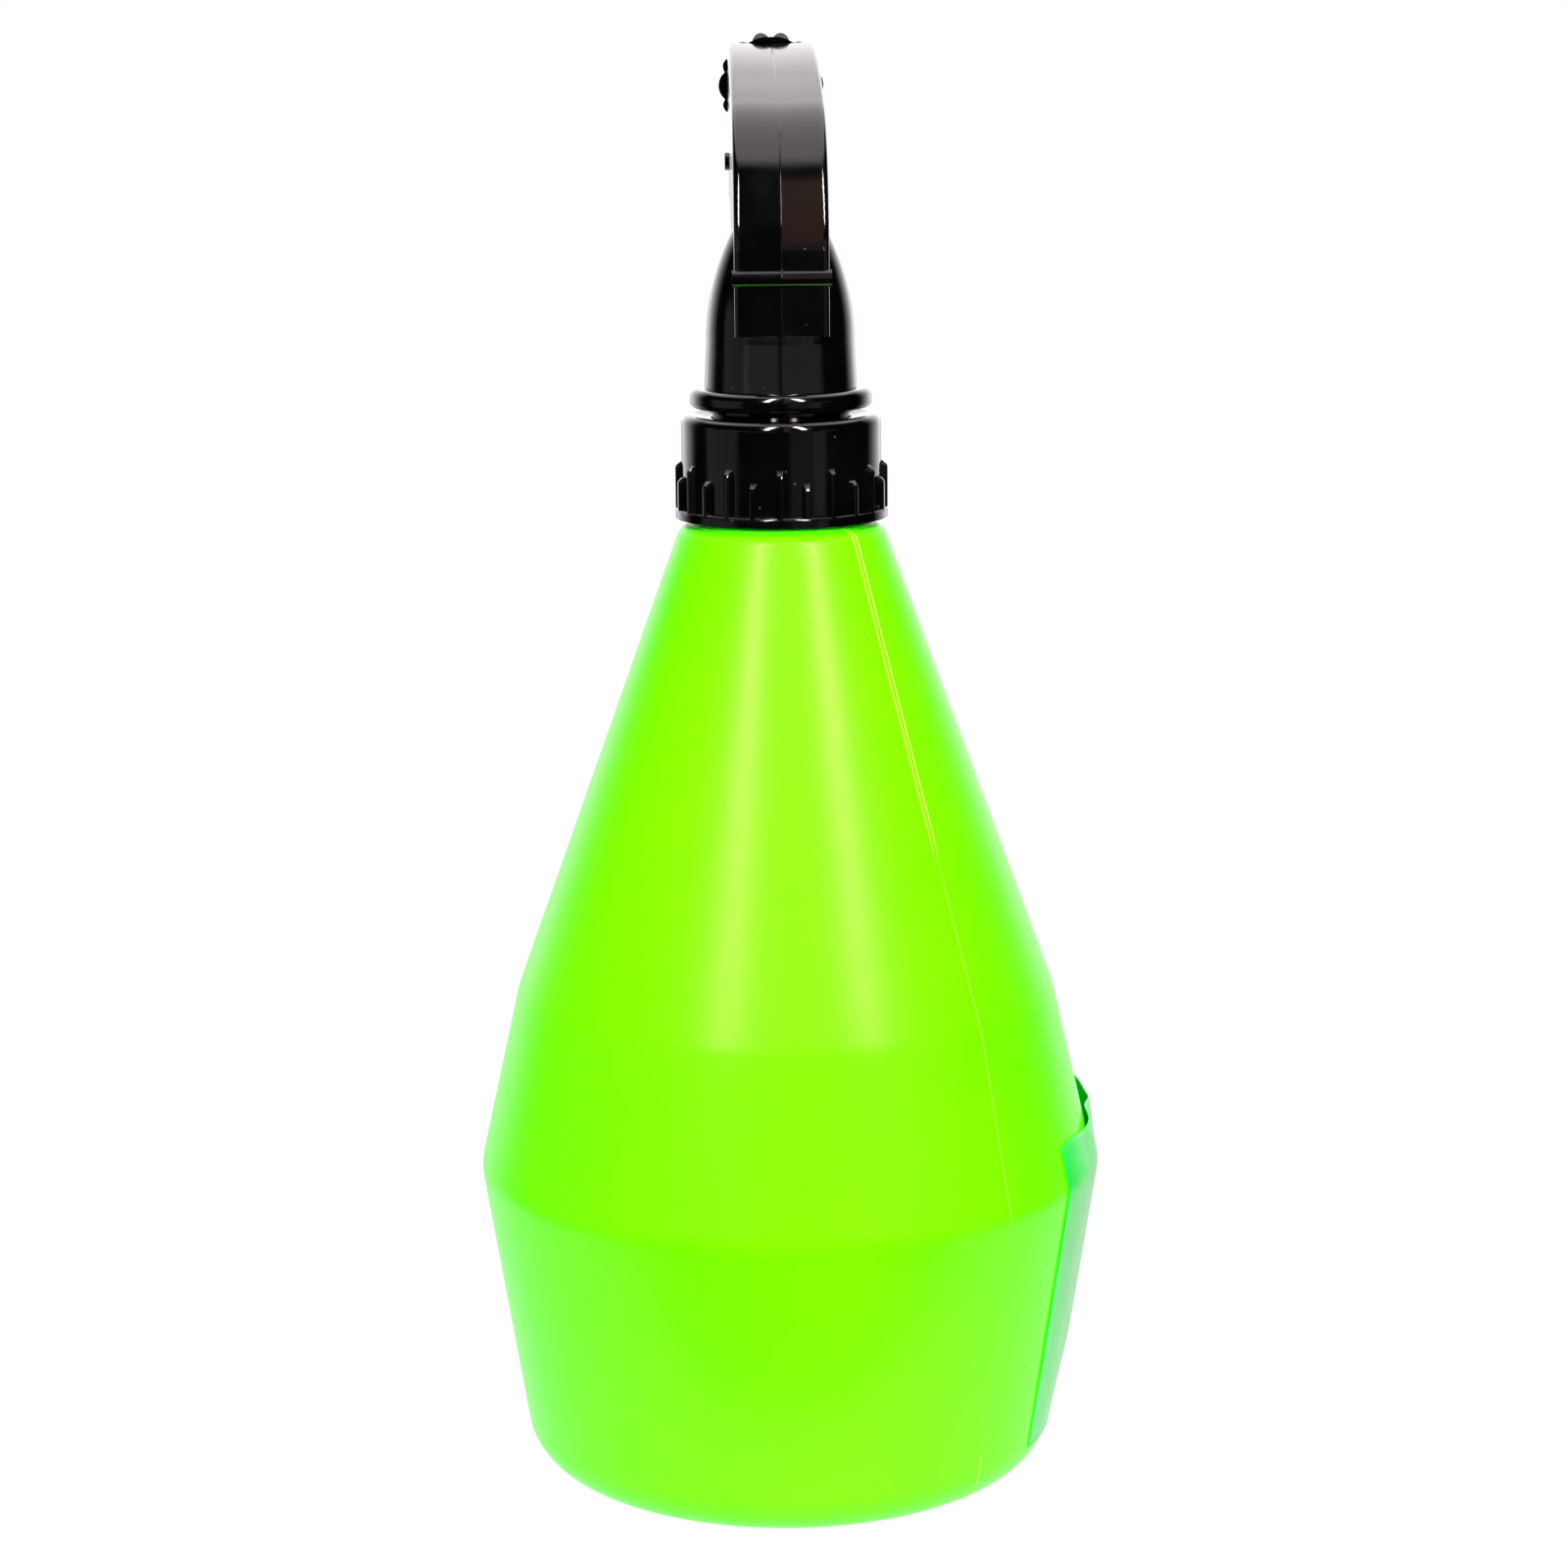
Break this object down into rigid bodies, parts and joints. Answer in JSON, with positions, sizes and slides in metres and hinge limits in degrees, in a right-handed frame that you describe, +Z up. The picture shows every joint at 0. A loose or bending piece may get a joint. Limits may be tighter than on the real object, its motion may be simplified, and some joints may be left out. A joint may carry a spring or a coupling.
{
  "type": "trigger spray bottle",
  "caption": "Hand trigger sprayer with a ribbed screw cap, flat-sided spine and lobed nozzle on a round, ridged plastic bottle with a wrapped label.",
  "frame": {"origin": "centre of the bottle's base, in the plane of its standing ring, on the bottle's axis", "axes": "+Z up along the bottle's axis, +Y the way the nozzle points, +X to the right when seen from behind the sprayer"},
  "size_m": [0.1038, 0.1154, 0.2406],
  "materials": {
    "bottle_green": "semi-gloss, fine orange-peel grain",
    "label_film": "satin film",
    "black_plastic": "glossy",
    "natural_plastic": "satin",
    "tube_plastic": "translucent",
    "seal_rubber": "matte",
    "steel": "polished"
  },
  "bodies": {
    "bottle": {"bottle": "bottle_green", "label": "label_film"},
    "head": {"head_body": "black_plastic", "tube_retainer": "natural_plastic", "neck_gasket": "seal_rubber", "dip_tube": "tube_plastic", "tube_filter": "natural_plastic", "pivot_pin": "black_plastic", "return_spring": "steel", "outlet_valve": "seal_rubber", "swirl_insert": "natural_plastic", "nozzle_o_ring": "seal_rubber"},
    "cap": {"closure_cap": "black_plastic"},
    "trigger": {"trigger": "black_plastic", "link_pin": "steel"},
    "piston": {"piston": "natural_plastic", "main_seal": "seal_rubber", "vent_seal": "seal_rubber"},
    "nozzle": {"nozzle_knob": "black_plastic"},
    "inlet_ball": {"inlet_ball": "steel"}
  },
  "joints": [
    {"name": "head_lift", "type": "slide", "parent": "bottle", "child": "head", "axis": [0, 0, 1], "range_m": [0, 0.00634]},
    {"name": "cap_turn", "type": "hinge", "parent": "head", "child": "cap", "pos_m": [0, 0, 0.17], "axis": [0, 0, 1], "range_deg": [0, 540]},
    {"name": "trigger_pull", "type": "hinge", "parent": "head", "child": "trigger", "pos_m": [0, 0.038, 0.2176], "axis": [-1, 0, 0], "range_deg": [0, 22], "stiffness_Nm_per_rad": 0.35, "springref_deg": -20.05},
    {"name": "piston_stroke", "type": "slide", "parent": "head", "child": "piston", "axis": [0, -1, 0], "range_m": [0, 0.0078], "deforming": ["return_spring"]},
    {"name": "nozzle_turn", "type": "hinge", "parent": "head", "child": "nozzle", "pos_m": [0, 0.0456, 0.2301], "axis": [0, 0.9949, 0.1011], "continuous": true},
    {"name": "inlet_ball_lift", "type": "slide", "parent": "head", "child": "inlet_ball", "axis": [0, 0, 1], "range_m": [0, 0.0024]}
  ],
  "couplings": [
    {"joint": "cap_turn", "follows": "head_lift", "rad_per_m": 1485.4},
    {"joint": "piston_stroke", "follows": "trigger_pull", "m_per_rad": 0.020282}
  ]
}
